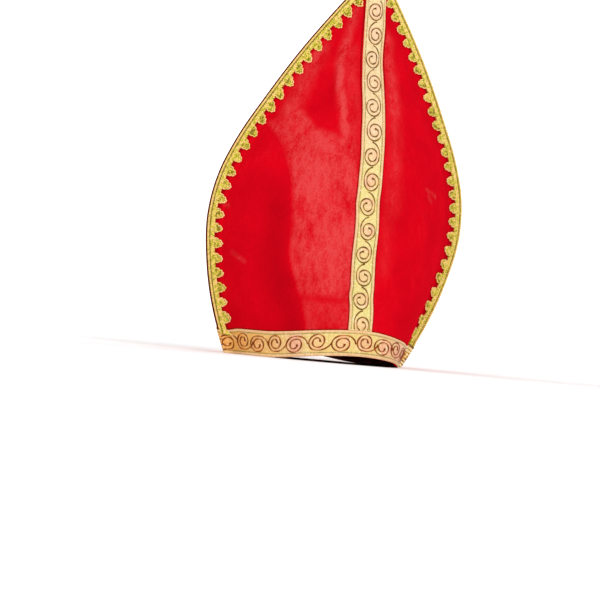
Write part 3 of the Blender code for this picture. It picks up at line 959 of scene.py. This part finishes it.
band_front = make_band("ribbon_rim_front", front)
band_back = make_band("ribbon_rim_back", back)
steps = SCROLL_PITCH * np.arange(-7, 8)
scrolls_front = make_scrolls(
    "scrolls_rim_front", front, band_place, BAND_PHASE + steps + eased(BAND_SHIFTS, steps),
    on_band(front, BINDING_LENGTH + BINDING_MARGIN), -1, RUST, BAND_LINE)
scrolls_back = make_scrolls("scrolls_rim_back", back, band_place, BAND_PHASE + steps,
                            on_band(back, END_MARGIN), -1, RUST, BAND_LINE)

STRIP_FOOT = BAND_TOP + 0.0001
STRIP_TOP = 0.376
STRIP_STEPS = 380
STRIP_ROOM = 0.0026  # at least this much cloth shows on each side of it
# The scrolls stand at even levels up the strip, from the middle of the lowest.
STRIP_FIRST = 0.0300
STRIP_STEP = 0.0240
STRIP_PINK = 0.25  # the gold goes to pale pink toward the peak


def strip_place(panel, level, u, lift):
    """A point on the strip: its level, and u from the strip's own middle."""
    sway, width = strip_at(level)
    return panel.on(level, u * width + sway, lift)


def make_strip(name, panel):
    level = np.linspace(STRIP_FOOT, STRIP_TOP, STRIP_STEPS)[:, None]
    room = panel.end(level, 1) - STRIP_ROOM
    u = RIBBON_COLUMNS[None, :] * np.minimum(1.0, room / (RIBBON_WIDTH / 2))
    lift = RIBBON_SEAT + ribbon_profile(RIBBON_COLUMNS)[None, :]
    outer = strip_place(panel, level, u, lift)[0]
    inner = strip_place(panel, level, u, RIBBON_SEAT)[0]
    along = (level - STRIP_FIRST) * SCROLL_PITCH / STRIP_STEP
    pink = STRIP_PINK * (0.3 + 0.7 * smooth_step((level - 0.16) / 0.08))
    pink = np.where(level > STRIP_TOP - 0.024, -1.0, pink)
    pale = -0.65 * smooth_step((level - 0.15) / 0.09)
    work = Work()
    work.sheet(outer, inner, cloth_map(u, along), pale, pink)
    return work.make(name, [GOLD])


def on_strip(level, u):
    low, high = STRIP_FOOT + 0.0006, STRIP_TOP - 0.022
    return (level > low) & (level < high) & (np.abs(u) < SCROLL_REACH)


strip = make_strip("ribbon_middle", front)
strip_centres = np.arange(STRIP_FIRST, STRIP_TOP - 0.030, STRIP_STEP)
scrolls_strip = make_scrolls("scrolls_middle", front, strip_place, strip_centres, on_strip, 1,
                             BROWN, STRIP_LINE)

BINDING_LIFT = RIBBON_SEAT + RIBBON_BODY + 0.0002
BINDING_HIGH = 0.00035
BINDING_PLY = 0.0021
# The braids' feet lie this far over the band, at the wearer's right and left.
BRAID_LAPS = {-1: 0.0065, 1: 0.0038}


def make_binding(name, panel):
    """Threads over the front band's ends, square to the seam edge: long ones side by side
    at the wearer's left, a few short ones at the right."""
    chance = np.random.default_rng(9)
    work = Work()

    def thread_at(side, foot, reach, wide, tone):
        run = np.linspace(0.0002, reach, 14)
        level = foot + run * math.sin(BINDING_SLANT)
        along = side * (panel.end(max(foot, 0.0), side) - run * math.cos(BINDING_SLANT))
        on_it = (level > wide + 0.0002) & (level < BAND_TOP)
        if on_it.sum() > 4:
            points, normals = panel.on(level[on_it], along[on_it], BINDING_LIFT)
            work.tube(points, normals, wide, BINDING_HIGH, tone, twist=BINDING_PLY)

    last = BAND_TOP - BRAID_LAPS[1]
    for foot in np.arange(-0.0044, last - 0.0016, BINDING_STEP):
        tone = chance.choice((0.15, 0.62, 0.85, 1.0))
        reach = BINDING_LENGTH * chance.uniform(0.86, 1.0)
        thread_at(1, foot, reach, BINDING_STEP * 0.46, tone)
        # Narrower darker threads between them are painted shade in the gaps.
        thread_at(1, foot + BINDING_STEP / 2, reach * chance.uniform(0.5, 0.95), 0.00062, 0.2)
    # Two dark threads of painted shade: in a nick at the edge, and under the braid's end
    thread_at(1, 0.0075, 0.0026, 0.0012, -0.9)
    thread_at(1, last - 0.0008, 0.0086, 0.0012, -0.9)
    for foot in (0.0030, 0.0078, 0.0126):
        thread_at(-1, foot, 0.0020, 0.0005, -0.2)
    return work.make(name, [BINDING], sharp=70)


binding = make_binding("binding_front", front)

STITCH_STEP = 0.0029
STITCH_LENGTH = 0.0022
STITCH_THICK = 0.00019
STITCH_DIP = np.array([-1.2, 0.2, 0.6, 0.2, -1.2])
BAND_END = float(front.end(0.0, 1)) - 0.003


def make_stitches(name, runs):
    """Rows of stitches down both sides of ribbons: panel, place, low and high."""
    work = Work()
    for panel, place, low, high in runs:
        for u in (-STITCH_AT, STITCH_AT):
            for start in np.arange(low, high - STITCH_LENGTH, STITCH_STEP):
                along = np.linspace(start, start + STITCH_LENGTH, 5)
                lift = RIBBON_SEAT + RIBBON_BODY + STITCH_THICK * (STITCH_DIP - 0.5)
                points, normals = place(panel, along, np.full(5, u), lift)
                work.tube(points, normals, STITCH_THICK, STITCH_THICK, sides=5)
    return work.make(name, [STITCH], sharp=70)


stitches_front = make_stitches("stitches_front", (
    (front, band_place, -BAND_END, BAND_END),
    (front, strip_place, STRIP_FOOT + 0.001, STRIP_TOP - 0.030)))
stitches_back = make_stitches("stitches_back", ((back, band_place, -BAND_END, BAND_END),))

# Gimp braid

# One fan is three cords, each inside the last: its size, tone, thickness and lift.
CORD_COLUMNS = ("size", "tone", "thick", "lift")
CORDS = (
    (1.00, 0.94, 0.00062, 0.00100),
    (0.66, 0.40, 0.00080, 0.00120),
    (0.32, 0.44, 0.00085, 0.00125),
)
FAN_HALF = 0.0044  # from the fan's middle to its foot along the header
FIRST_FAN = -0.0005  # the braid is cut through the middle of a fan
FAN_FLOW = 1.6  # how round the fan's rise is
PICOT = 0.0013  # the little loops round its edge stand out this far
LOOPS = 2.5  # on each side of the fan's point
# The braid runs up from the wearer's right and down again, and its fans lean back along it.
FAN_LEAN = 0.0021
LAP_LIFT = 0.0009
BRAID_END = 0.0006  # the fans' cords keep at least this far from the braid's ends
# The header is a twisted cord at the edge and a flat plait of three beside it.
HEADER_COLUMNS = ("strands", "pitch", "offset", "sway", "lift", "beats", "start", "wide",
                  "high", "twist", "tone", "shade")
HEADER_CORDS = (
    (2, 0.0046, 0.00095, 0.00042, 0.0009, 1, 90, 0.00055, 0.00050, 0.0019, 0.74, 0.30),
    (3, 0.0066, 0.00500, 0.00160, 0.0010, 2, 0, 0.00080, 0.00055, 0.0021, 0.46, 0.34),
)
HEADER_HEAVE = 0.00040  # the strands rise and fall by this much
HEADER_FOOT = 0.0005  # where they begin
HEADER_STEP = 0.0007
GROUND_FACE, GROUND_SEAT = 0.0006, 0.0001
POINT_HALF = 0.24  # half the width of a point of the ground, as a share of the pitch


def edge_path(side):
    """The seam edge above the band: length along it, half width and level."""
    level = np.linspace(BAND_TOP - BRAID_LAPS[side], HEIGHT - 0.0008, 700)
    lean = PEAK_LEAN * (front.outer[:, -1, 2] / HEIGHT - WIDEST_UP)
    half = np.interp(level, front.levels, front.outer[:, -1, 0] - lean)
    return run_length(half, level), half, level


EDGE_PATHS = {side: edge_path(side) for side in (-1, 1)}


def braid_place(side, station, offset, lift):
    """A point on the braid: station along the seam edge, offset inwards from it."""
    length, half, level = EDGE_PATHS[side]
    x, z, slope_x, slope_z = (
        np.interp(station, length, value)
        for value in (half, level, np.gradient(half, length), np.gradient(level, length)))
    turned = smooth_step(station / 0.020) if side < 0 else 1.0
    in_x, in_z = -slope_z, slope_x * turned
    size = np.hypot(in_x, in_z)
    in_x, in_z = in_x / size, in_z / size
    # Near the peak the two braids meet on the middle line.
    room = (x - 0.0006) / np.maximum(-in_x, 0.1)
    offset = offset * np.minimum(1.0, room / BRAID_REACH)
    place_x, place_z = x + offset * in_x, z + offset * in_z
    lift = lift + LAP_LIFT * (1 - smooth_step((place_z - BAND_TOP) / 0.0012))
    wide = np.interp(place_z, level, half)
    from_edge = wide - place_x
    # The cloth there is a little longer than it is wide.
    slack = front.end(place_z, side) - wide
    from_edge = from_edge + slack * smooth_step((from_edge / wide - 0.5) / 0.5)
    return front.on(place_z, from_edge, lift, from_edge=side)


def add_ground(work, side, length, middles):
    """A thin ground under the threads, its inner side in points."""
    station = np.linspace(0.0, length, len(middles) * 20 + 1)[:, None]
    turn = (station - middles[0] - side * FAN_LEAN * 0.4) / BRAID_PITCH
    point = np.clip(1 - (np.abs(turn - np.round(turn)) / POINT_HALF) ** 2, 0, 1)
    reach = EDGE_REVEAL + BRAID_HEADER - 0.0006 + point * (BRAID_FAN - 0.0034)
    # At the peak the two grounds meet.
    reach = reach + (BRAID_REACH - reach) * smooth_step((station - length + 0.030) / 0.012)
    near = EDGE_REVEAL + 0.0003
    offsets = near + np.linspace(0, 1, 19) * (reach - near)
    outer = braid_place(side, station, offsets, GROUND_FACE)[0]
    inner = braid_place(side, station, offsets, GROUND_SEAT)[0]
    # Painted shade: it is dark in the groove between the edge cord and the plait.
    groove = hill(offsets - EDGE_REVEAL - 0.0024, 0.0006)
    work.sheet(outer, inner, cloth_map(offsets, station), 0.42 - 0.7 * groove)


def add_header(work, side, length):
    along = np.linspace(HEADER_FOOT, length - BRAID_END, int(length / HEADER_STEP))
    for cord in rows_of(HEADER_COLUMNS, HEADER_CORDS):
        for strand in range(cord["strands"]):
            turn = 2 * math.pi * (along / cord["pitch"] + strand / cord["strands"])
            wave = np.sin(cord["beats"] * turn + math.radians(cord["start"]))
            offset = EDGE_REVEAL + cord["offset"] + cord["sway"] * np.sin(turn)
            points, normals = braid_place(side, along, offset, cord["lift"] + HEADER_HEAVE * wave)
            # Painted light: each strand is lighter where it rises and darker where it dips.
            work.tube(points, normals, cord["wide"], cord["high"], twist=cord["twist"],
                      tone=cord["tone"] + cord["shade"] * wave)


def add_fan(work, side, length, middle, chance):
    """Three cords, each inside the last, in little loops round a point."""
    t = np.linspace(-1, 1, 71)
    rise = 1 - np.abs(t) ** FAN_FLOW
    sway = FAN_HALF * np.sign(t) * np.abs(t) ** 0.9
    turn = math.radians(42) * np.tanh(3 * t)
    middle = middle + chance.uniform(-0.0005, 0.0005)
    grow = chance.uniform(0.90, 1.04)
    skew = side * FAN_LEAN + chance.uniform(-0.0006, 0.0006)
    for cord in rows_of(CORD_COLUMNS, CORDS):
        size = cord["size"] * grow * chance.uniform(0.96, 1.04)
        loops = np.abs(np.cos(LOOPS * math.pi * t)) ** 0.8 * PICOT * cord["size"] ** 0.5
        high = size * (BRAID_FAN - PICOT - 0.0006) * rise
        offset = EDGE_REVEAL + BRAID_HEADER - 0.0012 + high + loops * np.cos(turn)
        along = middle + skew * rise + size * sway + loops * np.sin(turn)
        along = np.clip(along, BRAID_END, length - BRAID_END)
        points, normals = braid_place(side, along, offset, cord["lift"] + 0.0002 * rise)
        tone = cord["tone"] + 0.12 * np.cos(2 * LOOPS * math.pi * t) + chance.uniform(-0.1, 0.1)
        work.tube(points, normals, cord["thick"], cord["thick"] * 0.85, tone, twist=0.0019)


def make_braid(name, side, seed):
    chance = np.random.default_rng(seed)
    work = Work()
    length = EDGE_PATHS[side][0][-1]
    # The fans of both braids stand level, whatever their laps.
    first = FIRST_FAN + BRAID_LAPS[side] - BRAID_LAPS[-1]
    middles = np.arange(first, length, BRAID_PITCH)
    add_ground(work, side, length, middles)
    add_header(work, side, length)
    for middle in middles[middles > -0.002]:
        add_fan(work, side, length, middle, chance)
    return work.make(name, [GIMP], sharp=60)


braid_right = make_braid("gimp_right", -1, seed=5)
braid_left = make_braid("gimp_left", 1, seed=6)

# What each piece is to the frame

PIECES = (
    (velour_front, ("panel_front",), "red_velour"),
    (velour_back, ("panel_back",), "red_velour"),
    (band_front, ("band_front",), "gold_galloon"),
    (band_back, ("band_back",), "gold_galloon"),
    (strip, ("strip_front",), "gold_galloon"),
    (braid_right, ("trim_right",), "gold_gimp"),
    (braid_left, ("trim_left",), "gold_gimp"),
    (scrolls_front, (), "gold_galloon"),
    (scrolls_back, (), "gold_galloon"),
    (scrolls_strip, (), "gold_galloon"),
    (stitches_front, (), "gold_galloon"),
    (stitches_back, (), "gold_galloon"),
    (binding, (), "gold_galloon"),
)
for piece, nodes, slot in PIECES:
    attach(piece, "root")
    if nodes:
        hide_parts(*nodes)

# Floor, light and camera


def floor_material():
    paint = Paint("pale_floor")
    cloud = paint.noise(3.0)
    paint.base = paint.mixed(cloud.ranged(0.3, 0.7), (0.90, 0.90, 0.90), (0.93, 0.93, 0.93))
    return paint.finish({"Roughness": 0.95, "Specular IOR Level": 0.0})


def make_floor():
    """A pale sheet that lies under the hat and curves up far behind it."""
    run = [(-4.0 + 0.5 * i, 0.0) for i in range(15)]
    run += [(3.0 + 1.5 * math.sin(a), 1.5 - 1.5 * math.cos(a))
            for a in np.linspace(0.1, math.pi / 2, 16)]
    run += [(4.5, 1.5 + 0.5 * i) for i in range(1, 6)]
    verts = [(x, y, z) for y, z in run for x in (-6.0, 6.0)]
    faces = [[2 * i, 2 * i + 1, 2 * i + 3, 2 * i + 2] for i in range(len(run) - 1)]
    mesh = bpy.data.meshes.new("floor")
    mesh.from_pydata(verts, [], faces)
    mesh.shade_smooth()
    mesh.materials.append(floor_material())
    placed("floor", mesh)


make_floor()


def area_light(name, place, aim, size, power):
    light = bpy.data.lights.new(name, "AREA")
    light.shape = "DISK"
    light.size = size
    light.energy = power
    lamp = placed(name, light)
    lamp.location = place
    lamp.rotation_mode = "QUATERNION"
    lamp.rotation_quaternion = (Vector(aim) - Vector(place)).to_track_quat("-Z", "Y")


area_light("key", (0.1, -2.4, 1.5), (0, 0, 0.2), 0.8, 32)
area_light("fill", (-2.2, -1.6, 1.0), (0, 0, 0.2), 1.6, 9)
area_light("wall_left", (-2.6, 2.2, 2.2), (0.4, 4.4, 0.6), 1.6, 90)
area_light("wall_right", (3.2, 1.6, 2.2), (1.6, 4.4, 0.6), 1.6, 90)

world = bpy.data.worlds.new("studio")
bpy.context.scene.world = world
world.use_nodes = True
background = world.node_tree.nodes["Background"]
background.inputs["Color"].default_value = (1, 1, 1, 1)
background.inputs["Strength"].default_value = 0.65
bpy.context.scene.view_settings.view_transform = "Standard"

# The camera stands 24 degrees to the wearer's right of the front, just above the floor, and
# is turned 5 degrees, as the hat leans in the photograph.
PIXELS = 600
DISTANCE = 2.5
METRES_TO_A_PIXEL = 0.00097
CAMERA_HEIGHT = 0.03
YAW = math.radians(24)
ROLL = math.radians(5.0)
# At the camera's height the hat's axis is this far right of and below the picture's middle.
RIGHT_PIXELS, DOWN_PIXELS = 26.7, 30.2


def make_camera():
    focal = DISTANCE / METRES_TO_A_PIXEL
    data = bpy.data.cameras.new("camera")
    data.sensor_width = 36.0
    data.lens = 36.0 * focal / PIXELS
    data.clip_start, data.clip_end = 0.05, 50
    ahead = Vector((math.sin(YAW), math.cos(YAW), 0))
    level_right = Vector((math.cos(YAW), -math.sin(YAW), 0))
    upright = Vector((0, 0, 1))
    right = level_right * math.cos(ROLL) + upright * math.sin(ROLL)
    up = upright * math.cos(ROLL) - level_right * math.sin(ROLL)
    aim = (ahead * focal - right * RIGHT_PIXELS + up * DOWN_PIXELS).normalized()
    right = (right - aim * right.dot(aim)).normalized()
    up = right.cross(aim)
    camera = placed("camera", data)
    turn = Matrix((right, up, -aim)).transposed().to_4x4()
    camera.matrix_world = Matrix.Translation(-ahead * DISTANCE + upright * CAMERA_HEIGHT) @ turn
    bpy.context.scene.camera = camera


make_camera()
